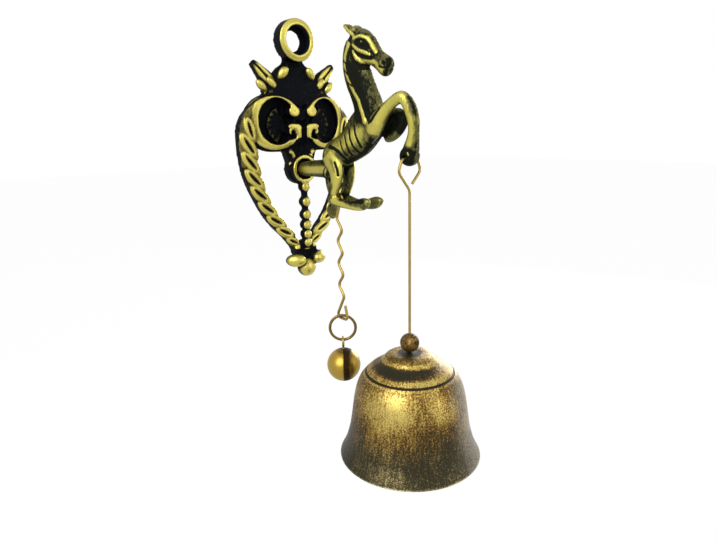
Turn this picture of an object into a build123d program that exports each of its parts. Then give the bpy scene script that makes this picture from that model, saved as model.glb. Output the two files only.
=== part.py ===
from build123d import *
import math
import os

# A horse visitors' bell for a wall. Millimetres, origin at the centre of the screw hole on the wall,
# wall plane at Y = 0, front towards -Y, +Z up. "Reach" is the distance out from the wall, so Y = -reach.

# Screw ring of the wall plate
screw_ring_radius = 8.6
screw_ring_reach = 6.7
screw_ring_edge_drop = 1.0
counterbore_radius = 5.95
screw_hole_radius = 4.25
screw_seat_thickness = 1.4

# Scroll field of the wall plate
dome_radius = 70.0
dome_centre_z = -33.0
scroll_reach = 8.2
field_reach = 6.0
recess_floor = 1.4
scroll_x = 12.2
scroll_z = -32.8
recess_half_width = 8.4
recess_half_height = 9.6
scroll_outer_x = 13.1
scroll_outer_z = -33.5
scroll_outer_half_width = 12.2
scroll_outer_half_height = 11.0
scroll_margin = 0.9
scroll_gap_top_z = -27.2
scroll_gap_bottom_z = -35.8
scroll_gap_x = 7.6
scroll_middle_gap = 2.8
droplet_x = 4.4
droplet_z = -28.8
droplet_half_width = 2.5
droplet_half_height = 2.2
hook_x = 3.5
hook_z = -37.0
hook_half_width = 2.1
hook_half_height = 3.0
hook_tip_x = 5.4
hook_tip_z = -35.0
hook_tip_half_width = 2.3
hook_tip_half_height = 1.2
field_top_z = -22.0
field_bottom_z = -45.4
neck_outline = ((4.6, -6.0), (5.6, -9.2), (8.8, -11.2), (12.8, -15.0), (16.6, -20.6), (8.0, -26.0))
neck_top_z = -6.0
neck_bottom_z = -26.0

# Seed-shaped details: sections along their length, and how blunt their ends are
pod_stations = (0.0, 0.12, 0.32, 0.5, 0.68, 0.88, 1.0)
pod_blunt_end = 0.12

# Fluted shells in the two recesses
shell_hinge_x = 6.4
shell_hinge_z = -34.4
shell_length = 9.4
shell_flutes = 7
shell_spread = 100.0
shell_rim_flute_radius = 1.35
shell_hinge_flute_radius = 0.45
shell_reach = 2.3
shell_side_shortening = 0.1
shell_base_share = 0.93

# Leaves beside the screw ring
leaf_root = (11.5, -17.8)
leaf_tip = (20.6, -8.8)
leaf_width = 6.4
leaf_tip_width = 2.6
leaf_thickness = 2.6
leaf_lobe_outer = (17.2, -18.4)
leaf_lobe_inner = (12.4, -17.2)
leaf_lobe_half_length = 3.0
leaf_lobe_half_width = 1.6
leaf_lobe_reach = 4.6
leaf_vein_radius = 1.15
leaf_vein_drop = 0.5
leaf_vein_offsets = (-0.24, 0.26)
leaf_vein_overlap = 1.5
leaf_root_overlap = 3.0
bud_root = (8.9, -15.4)
bud_tip = (4.9, -10.8)
bud_radius = 1.9
bud_reach = 4.6
bud_rise = 1.6

# Rope border down both sides
border_outer_points = ((16.0, -21.4), (23.0, -26.4), (28.4, -33.0), (29.5, -42.5), (27.8, -55.0),
                       (23.0, -66.4), (17.0, -76.0), (9.4, -84.2))
border_inner_points = ((20.4, -25.6), (23.8, -33.0), (22.2, -44.0), (20.4, -55.0), (16.9, -65.8),
                       (11.3, -75.4), (4.6, -83.2))
border_inner_end_x = 1.2
border_thickness = 3.5
strand_count = 9
strand_first_share = 0.22
strand_share_range = 0.74
strand_lead = 0.062
strand_trail = 0.028
strand_last_share = 0.97
strand_width_share = 0.2
strand_width_base = 0.25
strand_reach = 5.0
strand_depth = 1.5
strand_outer_inset = 0.09
strand_slot_share = 0.34
strand_slot_high_share = 0.8
strand_slot_low_share = 0.6
strand_slot_depth = 1.3

# Beaded rib, socket boss and foot
rib_reach = 5.3
rib_radius = 1.5
bead_radius = 2.7
bead_depth_radius = 2.1
bead_places = (-60.9, -67.6, -73.4, -78.0, -82.2, -86.0)
boss_z = -53.1
boss_base_radius = 6.8
boss_rim_radius = 6.0
boss_reach = 7.2
boss_base_reach = 3.6
boss_cup_radius = 4.5
boss_cup_depth = 2.2
foot_z = -89.4
foot_half_width = 5.7
foot_step = 1.5
foot_top_z = -85.4
foot_bottom_z = -95.4
foot_bottom_half_width = 2.6
foot_ball_radius = 4.3
foot_ball_z = -97.8
foot_ball_reach = 4.5
side_ball_x = 6.3
side_ball_z = -93.7
side_ball_reach = 5.7
side_ball_half_length = 4.7
side_ball_radius = 3.0
side_ball_turn = 40.0

# Small ribbons between the scrolls and the boss
curl_start = (6.4, -45.4)
curl_bulge = (4.4, -48.0)
curl_end = (7.2, -50.6)
curl_reach = 5.1
curl_radius = 0.8
web_top_half_width = 8.4
web_top_z = -43.8
web_bottom_half_width = 6.2
web_bottom_z = -50.6
web_thickness = 4.6

# Arm socket and its hidden screw
arm_radius = 3.1
arm_flare_reach = 6.0
arm_end_reach = 29.0
arm_end_rise = 0.8
arm_end_radius = 3.9
arm_seat_clearance = 0.05
arm_seat_reach = 3.3
bracket_screw_radius = 1.45
bracket_screw_clearance = 0.15
bracket_screw_head_radius = 2.8
bracket_screw_head_height = 1.5
bracket_screw_pocket_depth = 1.8
bracket_screw_pocket_radius = 3.0
bracket_screw_reach = 9.5
tapped_hole_clearance = 0.05
tapped_hole_extra_depth = 0.5
screw_slot_width = 0.6
screw_slot_depth = 0.7

# Horse
hind_foot_side = 3.2
cross_bar_reach = 30.6
cross_bar_z = -64.2
cross_bar_radius = 1.1
hoof_reach = 72.1
hoof_z = -46.2
hoof_hole_z = -46.8
hoof_hole_radius = 0.95
hoof_half_width = 2.8
foreleg_root_reach = 52.5
foreleg_root_z = -40.5
foreleg_root_side = -1.6
hoof_radius = 3.6

# Bell wire, bead and bell
bell_wire_radius = 0.5
bell_wire_rest_gap = 0.05
eye_half_width = 5.5
eye_shoulder_half_width = 3.7
eye_height = 10.2
bell_top_z = -119.4
bell_wall = 1.2
bell_hole_radius = 0.65
bead_ball_radius = 3.65
bead_gap = 0.05
stop_loop_half_width = 2.3
stop_loop_height = 5.2
bell_crown_profile = ((5.5, 0.4), (8.8, 1.1), (9.8, 2.0), (10.9, 3.3), (14.3, 5.4), (16.8, 7.5))
bell_side_profile = ((18.8, 31.7), (20.2, 28.9), (21.3, 24.9), (22.1, 19.9), (22.8, 14.9), (23.5, 10.9),
                     (24.4, 7.4), (25.4, 4.3), (26.5, 1.9))
bell_groove_radius = 16.8
bell_groove_z = -126.9
bell_groove_width = 0.5
bell_rim_radius = 27.5
bell_rim_z = -160.9

# Striker: wavy wire, ring, ball eye and ball
striker_wire_radius = 0.62
top_eye_radius = 2.15
link_gap = 0.05
wave_half_width = 1.9
wave_pitch = 9.55
wave_first_z = -72.7
wave_turns = 8
wave_fillet = 2.2
hook_bottom_z = -116.45
hook_half_width = 3.9
hook_fillet = 1.6
hook_end_z = -110.2
hook_end_inset = 1.6
ring_radius = 5.6
ring_turn = -39.0
ring_slit = 0.2
ball_eye_wire_radius = 0.5
ball_eye_radius = 2.1
ball_radius = 7.4
ball_eye_neck = 1.2
ball_eye_seat = 2.2
ball_eye_seat_clearance = 0.05


def front(sketch, reach):
    """Extrude a sketch drawn on the wall plane out to a reach."""
    return extrude(Plane.XZ * sketch, amount=reach)


def pod(start, end, width, depth):
    """A seed-shaped body between two points: half width across the plate, half depth square to it."""
    start = Vector(*start)
    end = Vector(*end)
    stations = []
    for share in pod_stations:
        swell = max(math.sqrt(1 - (2 * share - 1) ** 2), pod_blunt_end)
        centre = start + (end - start) * share
        stations.append((-centre.Y, centre.Z, centre.X, depth * swell, width * swell))
    return limb(stations)


def both_sides(shape):
    """The shape and its mirror image across the middle plane."""
    return shape + mirror(shape, about=Plane.YZ)


def dome(reach):
    """A large ball whose front lies at the reach, to crown the scroll field."""
    return Pos(0, dome_radius - reach, dome_centre_z) * Sphere(dome_radius)


def rod(points, radii, wire_radius):
    """A round wire bent along straight runs joined by arcs."""
    path = FilletPolyline(*points, radius=radii)
    start = Plane(origin=path @ 0, z_dir=path % 0)
    return sweep(start * Circle(wire_radius), path=path)


def limb(stations):
    """A smooth body through oval sections: reach, height, side, half depth and half thickness."""
    centres = [Vector(side, -reach, z) for reach, z, side, _, _ in stations]
    sections = []
    for index, station in enumerate(stations):
        before = centres[max(index - 1, 0)]
        after = centres[min(index + 1, len(stations) - 1)]
        along = (after - before).normalized()
        across = (Vector(1, 0, 0) - along * along.X).normalized()
        plane = Plane(origin=centres[index], x_dir=across, z_dir=along)
        sections.append(plane * Ellipse(station[4], station[3]))
    return loft(sections)


def screw_ring():
    """Ring with a conical front edge."""
    outer = [(0, 0), (screw_ring_radius, 0), (screw_ring_radius, screw_ring_reach - screw_ring_edge_drop)]
    outer += [(counterbore_radius, screw_ring_reach), (0, screw_ring_reach)]
    profile = make_face(Polyline(*outer, close=True))
    turned = revolve(profile, axis=Axis.Y)
    return mirror(turned, about=Plane.XZ)


def screw_ring_holes():
    """Counterbore for the wall screw's head, and its hole through the seat."""
    counterbore = front(Circle(counterbore_radius), screw_ring_reach * 2)
    counterbore = Pos(0, -screw_seat_thickness, 0) * counterbore
    hole = front(Circle(screw_hole_radius), screw_ring_reach)
    return counterbore + hole


def scroll_field():
    """Crowned web that carries the scrolls and reaches up to the screw ring."""
    neck_face = make_face(Polyline(*neck_outline, (0, neck_bottom_z), (0, neck_top_z), close=True))
    lobe_half_width = scroll_outer_half_width + scroll_margin
    lobe_half_height = scroll_outer_half_height + scroll_margin
    lobe = Pos(scroll_outer_x, scroll_outer_z) * Ellipse(lobe_half_width, lobe_half_height)
    bridge_height = field_top_z - field_bottom_z
    bridge = Pos(0, field_bottom_z + bridge_height / 2) * Rectangle(2 * scroll_x, bridge_height)
    outline = neck_face + lobe + mirror(neck_face + lobe, about=Plane.YZ) + bridge
    return front(outline, scroll_reach) & dome(field_reach)


def scroll_recess():
    """Deep round hollow inside one scroll."""
    oval = Ellipse(recess_half_width, recess_half_height)
    hollow = front(Pos(scroll_x, scroll_z) * oval, scroll_reach * 2)
    return Pos(0, -recess_floor, 0) * hollow


def scroll_band():
    """One C scroll: a crescent with a droplet end above and a hooked end below."""
    outer = Pos(scroll_outer_x, scroll_outer_z) * Ellipse(scroll_outer_half_width, scroll_outer_half_height)
    inner = Pos(scroll_x, scroll_z) * Ellipse(recess_half_width, recess_half_height)
    gap_height = scroll_gap_top_z - scroll_gap_bottom_z
    gap_middle = (scroll_gap_top_z + scroll_gap_bottom_z) / 2
    gap = Pos(0, gap_middle) * Rectangle(2 * scroll_gap_x, gap_height)
    droplet = Pos(droplet_x, droplet_z) * Ellipse(droplet_half_width, droplet_half_height)
    hook = Pos(hook_x, hook_z) * Ellipse(hook_half_width, hook_half_height)
    hook += Pos(hook_tip_x, hook_tip_z) * Ellipse(hook_tip_half_width, hook_tip_half_height)
    middle = Pos(0, scroll_outer_z) * Rectangle(scroll_middle_gap, 4 * scroll_outer_half_height)
    band = outer - inner - gap + droplet + hook - middle
    return front(band, scroll_reach * 2) & dome(scroll_reach)


def shell():
    """Fluted fan standing on the floor of one recess."""
    body = None
    step = shell_spread / (shell_flutes - 1)
    for index in range(shell_flutes):
        angle = math.radians(index * step - shell_spread / 2)
        length = shell_length * (1 - shell_side_shortening * abs(math.sin(angle)))
        direction = Vector(math.cos(angle), 0, math.sin(angle))
        hinge = Vector(shell_hinge_x, -shell_reach, shell_hinge_z)
        flute = Plane(origin=hinge, z_dir=direction) * Cone(
            shell_hinge_flute_radius,
            shell_rim_flute_radius,
            length,
            align=(Align.CENTER, Align.CENTER, Align.MIN),
        )
        body = flute if body is None else body + flute
    fan_radius = shell_length * shell_base_share
    fan = CenterArc((0, 0), fan_radius, -shell_spread / 2, shell_spread)
    fan_face = make_face(fan + Line(fan @ 1, (0, 0)) + Line((0, 0), fan @ 0))
    base = front(Pos(shell_hinge_x, shell_hinge_z) * fan_face, shell_reach)
    return body + base


def leaf():
    """Outer leaf with two raised veins."""
    root = Vector(*leaf_root)
    tip = Vector(*leaf_tip)
    along = (tip - root).normalized()
    across = Vector(-along.Y, along.X)
    middle = root + (tip - root) * 0.4
    end = tip - along * 0.6
    edge = Spline(
        root - along * leaf_root_overlap + across * leaf_width * 0.3,
        root + across * leaf_width * 0.5,
        middle + across * leaf_width * 0.46,
        end + across * leaf_tip_width * 0.5,
    )
    other = Spline(
        root - along * leaf_root_overlap - across * leaf_width * 0.3,
        root - across * leaf_width * 0.5,
        middle - across * leaf_width * 0.46,
        end - across * leaf_tip_width * 0.5,
    )
    tip_line = Line(edge @ 1, other @ 1)
    root_line = Line(edge @ 0, other @ 0)
    blade = front(make_face(edge + tip_line + other + root_line), leaf_thickness)
    for offset in leaf_vein_offsets:
        low = root - along * leaf_vein_overlap + across * leaf_width * offset
        high = tip + across * leaf_tip_width * offset
        vein_start = (low.X, -leaf_thickness, low.Y)
        vein_end = (high.X, leaf_vein_drop - leaf_thickness, high.Y)
        blade += pod(vein_start, vein_end, leaf_vein_radius, leaf_vein_radius)
    for centre in (leaf_lobe_outer, leaf_lobe_inner):
        lobe_reach = leaf_lobe_reach - leaf_lobe_half_width
        low = Vector(*centre) - along * leaf_lobe_half_length
        high = Vector(*centre) + along * leaf_lobe_half_length
        lobe_start = (low.X, -lobe_reach, low.Y)
        lobe_end = (high.X, -lobe_reach, high.Y)
        blade += pod(lobe_start, lobe_end, leaf_lobe_half_width, leaf_lobe_half_width)
    return blade


def bud():
    """Small curled leaf between the outer leaf and the screw ring."""
    low = (bud_root[0], bud_rise - bud_reach, bud_root[1])
    high = (bud_tip[0], -bud_reach, bud_tip[1])
    return pod(low, high, bud_radius, bud_radius)


def border_edges():
    """Outer and inner edge of the right-hand border, seen from the front."""
    outer = Spline(*border_outer_points, (foot_half_width, foot_z))
    inner = Spline(*border_inner_points, (border_inner_end_x, foot_z))
    return outer, inner


def border():
    """Rope border: a flat band with slanting slotted strands, placed by shares along its two edges."""
    outer, inner = border_edges()
    face = make_face(outer + Line(outer @ 1, inner @ 1) + inner + Line(inner @ 0, outer @ 0))
    strands = []
    slots = []
    for index in range(strand_count):
        share = strand_first_share + strand_share_range * index / (strand_count - 1)
        high = outer @ (share - strand_lead)
        low = inner @ min(share + strand_trail, strand_last_share)
        high += (low - high) * strand_outer_inset
        width = (high - low).length * strand_width_share + strand_width_base
        middle = (high + low) / 2
        centre_reach = strand_reach - strand_depth
        strand_start = (high.X, -centre_reach, high.Y)
        strand_end = (low.X, -centre_reach, low.Y)
        strands.append(pod(strand_start, strand_end, width, strand_depth))
        slot_high = middle + (high - middle) * strand_slot_high_share
        slot_low = middle + (low - middle) * strand_slot_low_share
        slot_start = (slot_high.X, -strand_reach, slot_high.Y)
        slot_end = (slot_low.X, -strand_reach, slot_low.Y)
        slots.append(pod(slot_start, slot_end, width * strand_slot_share, strand_slot_depth))
    body = front(face, border_thickness)
    for strand in strands:
        body = body.fuse(strand)
    return body.cut(*slots)


def rib():
    """Beaded rib from the boss down to the foot."""
    height = boss_z - foot_z
    body = Pos(0, -rib_reach, (boss_z + foot_z) / 2) * Cylinder(rib_radius, height)
    low = -bead_depth_radius
    high = bead_depth_radius
    for place in bead_places:
        swell = ThreePointArc((rib_radius, low), (bead_radius, 0), (rib_radius, high))
        half = make_face(swell + Polyline((rib_radius, high), (0, high), (0, low), (rib_radius, low)))
        body += Pos(0, -rib_reach, place) * revolve(Plane.XZ * half, axis=Axis.Z)
    return body


def boss():
    """Round socket boss with a raised rim."""
    profile = [(0, 0), (boss_base_radius, 0), (boss_base_radius, boss_base_reach)]
    profile += [(boss_rim_radius, boss_base_reach + 1.0), (boss_rim_radius, boss_reach), (0, boss_reach)]
    turned = revolve(make_face(Polyline(*profile, close=True)), axis=Axis.Y)
    return Pos(0, 0, boss_z) * mirror(turned, about=Plane.XZ)


def boss_holes():
    """Cup in the rim, seat for the horse's arm, screw hole and head pocket behind."""
    cup = front(Circle(boss_cup_radius), boss_reach)
    cup = Pos(0, boss_cup_depth - boss_reach, 0) * cup
    seat = front(Circle(arm_radius + arm_seat_clearance), boss_reach)
    seat = Pos(0, -arm_seat_reach, 0) * seat
    hole = front(Circle(bracket_screw_radius + bracket_screw_clearance), boss_reach)
    pocket = front(Circle(bracket_screw_pocket_radius), bracket_screw_pocket_depth)
    return Pos(0, 0, boss_z) * (cup + seat + hole + pocket)


def foot():
    """Block at the bottom with three balls."""
    corners = [(foot_half_width, foot_z + foot_step), (foot_half_width, foot_z - foot_step)]
    corners += [(foot_bottom_half_width, foot_bottom_z), (0, foot_bottom_z), (0, foot_top_z)]
    block_face = make_face(Polyline(*corners, close=True))
    body = front(block_face + mirror(block_face, about=Plane.YZ), rib_reach)
    turn = math.radians(side_ball_turn)
    reach_step = Vector(math.cos(turn), math.sin(turn), 0) * side_ball_half_length
    centre = Vector(side_ball_x, -side_ball_reach, side_ball_z)
    inner_end = centre - reach_step
    outer_end = centre + reach_step
    side_ball = pod(tuple(inner_end), tuple(outer_end), side_ball_radius, side_ball_radius)
    return body + both_sides(side_ball) + Pos(0, -foot_ball_reach, foot_ball_z) * Sphere(foot_ball_radius)


def curls():
    """Two small crescents between the scrolls and the boss, on a low web."""
    bends = [(x, -curl_reach, z) for x, z in (curl_start, curl_bulge, curl_end)]
    path = ThreePointArc(*bends)
    curl = sweep(Plane(origin=path @ 0, z_dir=path % 0) * Circle(curl_radius), path=path)
    corners = [(0, web_top_z), (web_top_half_width, web_top_z)]
    corners += [(web_bottom_half_width, web_bottom_z), (0, web_bottom_z)]
    half_web = make_face(Polyline(*corners, close=True))
    web = front(half_web + mirror(half_web, about=Plane.YZ), web_thickness)
    return web + both_sides(curl)


def wall_plate():
    """The cast wall plate."""
    right = [scroll_band(), shell(), border(), leaf(), bud()]
    left = [mirror(shape, about=Plane.YZ) for shape in right]
    body = scroll_field() - both_sides(scroll_recess())
    for shape in right + left + [foot(), rib(), curls(), boss(), screw_ring()]:
        body = body.fuse(shape)
    return body.cut(screw_ring_holes()).cut(boss_holes())


def ball_end(reach, z, side, radius):
    """A ball that rounds off the end of a limb."""
    return Pos(side, -reach, z) * Sphere(radius)


def torso():
    """Haunch, barrel and chest."""
    return limb([
        (24.2, -49.4, 0, 3.2, 2.8),
        (27.2, -48.2, 0, 5.8, 4.4),
        (31.0, -46.6, 0, 6.5, 5.0),
        (35.5, -44.7, 0, 6.3, 4.8),
        (41.0, -42.0, 0, 6.9, 4.8),
        (46.3, -38.2, 0, 8.0, 5.0),
        (51.5, -34.6, 0, 7.4, 4.6),
        (56.5, -31.2, 0, 3.4, 2.8),
    ])


def neck():
    """Neck from the chest up to the poll."""
    return limb([
        (50.8, -33.0, 0, 7.0, 4.2),
        (49.8, -27.0, 0, 6.7, 4.0),
        (46.6, -21.0, 0, 6.5, 3.7),
        (44.3, -15.0, 0, 6.8, 3.5),
        (43.4, -9.5, 0, 6.0, 3.3),
        (43.8, -5.0, 0, 4.2, 2.9),
    ])


def head():
    """Head with muzzle and two laid-back ears."""
    body = limb([
        (42.3, -3.6, 0, 2.6, 2.2),
        (45.5, -5.4, 0, 4.8, 3.2),
        (49.3, -7.9, 0, 5.3, 3.4),
        (53.3, -10.7, 0, 4.0, 2.6),
        (56.8, -13.1, 0, 3.3, 2.2),
        (60.0, -15.2, 0, 3.6, 2.4),
        (62.6, -16.9, 0, 2.2, 1.5),
    ])
    ear = limb([
        (45.4, -3.2, 1.9, 1.7, 1.0),
        (42.6, -0.9, 2.2, 1.5, 0.9),
        (39.7, 0.5, 2.4, 0.35, 0.3),
    ])
    return body + both_sides(ear)


def near_foreleg():
    """Raised foreleg whose hoof carries the bell."""
    leg = limb([
        (foreleg_root_reach, foreleg_root_z, foreleg_root_side, 2.4, 2.0),
        (hoof_reach - 16.6, hoof_z + 8.6, -2.6, 3.4, 2.4),
        (hoof_reach - 14.1, hoof_z + 11.0, -3.0, 3.6, 2.6),
        (hoof_reach - 10.3, hoof_z + 14.8, -2.9, 2.7, 2.3),
        (hoof_reach - 5.8, hoof_z + 18.2, -2.6, 2.0, 2.0),
        (hoof_reach - 1.5, hoof_z + 19.6, -2.3, 2.2, 2.1),
        (hoof_reach + 1.5, hoof_z + 17.0, -1.9, 2.4, 2.1),
        (hoof_reach + 3.2, hoof_z + 12.0, -1.4, 2.3, 2.0),
        (hoof_reach + 2.7, hoof_z + 7.2, -0.8, 2.2, 2.0),
        (hoof_reach + 1.3, hoof_z + 3.2, -0.3, 3.0, 2.5),
        (hoof_reach, hoof_z - 0.3, 0, 2.8, 2.3),
    ])
    hoof_shape = Pos(0, -hoof_reach, hoof_z) * Sphere(hoof_radius)
    slab = Pos(0, -hoof_reach, hoof_z) * Box(2 * hoof_half_width, 4 * hoof_radius, 4 * hoof_radius)
    return leg + (hoof_shape & slab)


def far_foreleg():
    """Folded foreleg on the far side."""
    upper = limb([
        (54.5, -36.5, 3.0, 3.6, 2.2),
        (59.0, -33.0, 3.0, 2.9, 2.2),
        (63.2, -31.8, 3.0, 2.2, 2.0),
        (66.2, -33.4, 3.0, 2.2, 2.0),
    ])
    lower = limb([
        (66.4, -33.2, 3.0, 2.0, 1.9),
        (64.6, -36.6, 3.0, 1.8, 1.7),
        (61.0, -39.0, 3.0, 2.0, 1.9),
        (57.2, -39.6, 3.0, 2.3, 2.0),
    ])
    return upper + lower + ball_end(66.3, -33.3, 3.0, 2.1)


def hind_leg(side):
    """Thigh, hock and forward foot of one hind leg."""
    thigh = limb([
        (30.0, -46.5, side * 0.7, 5.6, 3.2),
        (33.3, -52.0, side * 0.9, 4.3, 2.5),
        (33.4, -57.0, side, 2.8, 1.9),
        (31.6, -61.2, side, 2.3, 1.85),
        (30.6, -64.6, side, 2.2, 1.8),
    ])
    foot_bone = limb([
        (29.4, -64.0, side, 2.0, 1.7),
        (33.0, -64.9, side, 2.1, 1.8),
        (38.0, -65.6, side, 1.7, 1.6),
        (43.5, -65.8, side, 1.8, 1.8),
        (48.0, -65.2, side, 2.3, 1.9),
        (54.0, -63.4, side, 0.6, 0.8),
    ])
    return thigh + foot_bone


def tail():
    """Tail that swings to the far side below the haunch."""
    return limb([
        (27.6, -50.6, 0, 2.4, 2.0),
        (24.2, -55.5, 0.8, 2.3, 1.7),
        (22.6, -61.0, 2.0, 1.9, 1.4),
        (23.6, -65.4, 2.9, 2.3, 1.5),
        (23.2, -69.0, 3.0, 2.9, 1.6),
        (19.0, -71.8, 3.0, 0.8, 0.6),
    ])


def horse_bracket():
    """The cast horse with its arm, cross bar and holes."""
    arm_length = arm_end_reach - arm_seat_reach
    arm = Pos(0, -arm_seat_reach, boss_z) * extrude(Plane.XZ * Circle(arm_radius), amount=arm_length)
    sideways = Rot(0, 90, 0)
    bar = Pos(0, -cross_bar_reach, cross_bar_z) * sideways * Cylinder(cross_bar_radius, 2 * hind_foot_side)
    flare = limb([
        (arm_flare_reach, boss_z, 0, arm_radius - 0.1, arm_radius - 0.1),
        (arm_end_reach / 2, boss_z + arm_end_rise / 2, 0, arm_end_radius - 0.4, arm_end_radius - 0.5),
        (arm_end_reach, boss_z + arm_end_rise, 0, arm_end_radius, arm_end_radius - 0.2),
    ])
    legs = [near_foreleg(), far_foreleg(), hind_leg(hind_foot_side), hind_leg(-hind_foot_side)]
    body = torso() + neck() + head()
    for limb_shape in legs + [tail(), arm, flare, bar]:
        body += limb_shape
    hoof_hole = sideways * Cylinder(hoof_hole_radius, 4 * hoof_half_width)
    hoof_hole = Pos(0, -hoof_reach, hoof_hole_z) * hoof_hole
    tapped = Circle(bracket_screw_radius + tapped_hole_clearance)
    tapped_depth = bracket_screw_reach + tapped_hole_extra_depth
    screw_hole = Pos(0, 0, boss_z) * front(tapped, tapped_depth)
    return body - hoof_hole - screw_hole


def bracket_screw():
    """Screw from behind the plate into the horse's arm."""
    head_start = bracket_screw_pocket_depth - bracket_screw_head_height
    head_disc = front(Circle(bracket_screw_head_radius), bracket_screw_head_height)
    shank = front(Circle(bracket_screw_radius), bracket_screw_reach - head_start)
    drive = front(Rectangle(2 * bracket_screw_head_radius, screw_slot_width), screw_slot_depth)
    return Pos(0, -head_start, boss_z) * (head_disc + shank - drive)


def bell_wire():
    """Straight wire with a teardrop eye above and a stop loop below."""
    eye_z = hoof_hole_z - (hoof_hole_radius - bell_wire_radius - bell_wire_rest_gap)
    waist_z = eye_z - eye_height
    stop_z = bell_top_z - bell_wall - 1.2
    points = [
        (1.25, waist_z + 1.5),
        (eye_half_width, eye_z - 4.3),
        (eye_shoulder_half_width, eye_z),
        (-eye_shoulder_half_width, eye_z),
        (-eye_half_width, eye_z - 4.3),
        (0, waist_z - 0.8),
        (0, stop_z),
        (-stop_loop_half_width, stop_z - stop_loop_height / 2),
        (0, stop_z - stop_loop_height),
        (stop_loop_half_width, stop_z - stop_loop_height / 2),
        (1.1, stop_z - 0.9),
    ]
    radii = [2.6, 1.6, 1.6, 2.6, 3.0, 1.0, 1.1, 1.1, 1.1]
    return rod([(x, -hoof_reach, z) for x, z in points], radii, bell_wire_radius)


def bell_bead():
    """Bead that sits on the crown."""
    centre_z = bell_top_z + bead_ball_radius + bead_gap
    bead = Pos(0, -hoof_reach, centre_z) * Sphere(bead_ball_radius)
    hole = Pos(0, -hoof_reach, centre_z) * Cylinder(bell_hole_radius, 3 * bead_ball_radius)
    return bead - hole


def inset(points, wall):
    """Profile points moved in by the wall thickness."""
    moved = []
    for index, (radius, z) in enumerate(points):
        before = points[max(index - 1, 0)]
        after = points[min(index + 1, len(points) - 1)]
        run = math.hypot(after[0] - before[0], after[1] - before[1])
        normal = ((after[1] - before[1]) / run, -(after[0] - before[0]) / run)
        moved.append((radius + normal[0] * wall, z + normal[1] * wall))
    return moved


def bell():
    """Thin bell turned from one profile."""
    crown = [(bell_hole_radius, bell_top_z)]
    crown += [(radius, bell_top_z - drop) for radius, drop in bell_crown_profile]
    crown += [(radius, bell_rim_z + rise) for radius, rise in bell_side_profile]
    crown.append((bell_rim_radius, bell_rim_z))
    inner = inset(crown, bell_wall)
    inner[0] = (bell_hole_radius, inner[0][1])
    inner[-1] = (inner[-1][0], bell_rim_z)
    outer_line = Spline(*crown)
    inner_line = Spline(*inner)
    profile = outer_line + Line(crown[-1], inner[-1]) + inner_line + Line(inner[0], crown[0])
    cup = revolve(Plane.XZ * make_face(profile), axis=Axis.Z)
    groove = Pos(0, 0, bell_groove_z) * Torus(bell_groove_radius, bell_groove_width / 2)
    return Pos(0, -hoof_reach, 0) * (cup - groove)


def striker_wire():
    """Wavy wire with an eye round the cross bar and a hook for the ring."""
    eye_z = cross_bar_z - (top_eye_radius - striker_wire_radius - cross_bar_radius - link_gap)
    corner = top_eye_radius * math.sqrt(2)
    points = [
        (0.25 * corner, eye_z - 0.75 * corner),
        (corner, eye_z),
        (0, eye_z + corner),
        (-corner, eye_z),
        (0, eye_z - corner),
    ]
    eye_fillet = top_eye_radius * 0.99
    radii = [eye_fillet, eye_fillet, eye_fillet, 1.2]
    for turn in range(wave_turns):
        side = -1 if turn % 2 == 0 else 1
        points.append((side * wave_half_width, wave_first_z - turn * wave_pitch / 2))
        radii.append(wave_fillet)
    points += [(-hook_half_width, hook_bottom_z), (hook_half_width, hook_bottom_z)]
    points.append((hook_half_width - hook_end_inset, hook_end_z))
    radii += [hook_fillet, hook_fillet]
    return rod([(0, -cross_bar_reach - step, z) for step, z in points], radii, striker_wire_radius)


def ring_frame():
    """Facing direction and running direction of the ring."""
    turn = math.radians(ring_turn)
    facing = Vector(math.sin(turn), -math.cos(turn), 0)
    running = Vector(math.cos(turn), math.sin(turn), 0)
    return facing, running


def ring_centre_z():
    """Height of the ring's centre, hung in the hook."""
    return hook_bottom_z + 2 * striker_wire_radius + link_gap - ring_radius


def striker_ring():
    """Jump ring with a fine slit."""
    facing, running = ring_frame()
    place = Plane(origin=(0, -cross_bar_reach, ring_centre_z()), x_dir=running, z_dir=facing)
    slit = Pos(ring_radius, 0, 0) * Box(4 * striker_wire_radius, ring_slit, 4 * striker_wire_radius)
    return place * (Torus(ring_radius, striker_wire_radius) - slit)


def ball_eye_top_z():
    """Height of the ball eye's top wire, hung over the ring."""
    return ring_centre_z() - ring_radius + striker_wire_radius + ball_eye_wire_radius + link_gap


def ball_centre_z():
    """Height of the ball's centre."""
    return ball_eye_top_z() - 2 * ball_eye_radius - ball_eye_neck - ball_radius


def striker_eye():
    """Wire eye fixed in the top of the ball."""
    facing, _ = ring_frame()
    eye_z = ball_eye_top_z() - ball_eye_radius
    corner = ball_eye_radius * math.sqrt(2)
    points = [
        (0.3 * corner, eye_z - 0.7 * corner),
        (corner, eye_z),
        (0, eye_z + corner),
        (-corner, eye_z),
        (0, eye_z - corner),
        (0, ball_centre_z() + ball_radius - ball_eye_seat),
    ]
    fillet_radius = ball_eye_radius * 0.99
    radii = [fillet_radius, fillet_radius, fillet_radius, 0.8]
    axis_point = Vector(0, -cross_bar_reach, 0)
    path = [axis_point + facing * step + Vector(0, 0, z) for step, z in points]
    return rod([tuple(point) for point in path], radii, ball_eye_wire_radius)


def striker_ball():
    """Ball with a drilled seat for its eye."""
    ball = Pos(0, -cross_bar_reach, ball_centre_z()) * Sphere(ball_radius)
    seat_depth = ball_eye_seat + ball_eye_seat_clearance
    seat = Pos(0, -cross_bar_reach, ball_centre_z() + ball_radius - seat_depth / 2)
    seat *= Cylinder(ball_eye_wire_radius + ball_eye_seat_clearance, seat_depth)
    return ball - seat


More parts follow.
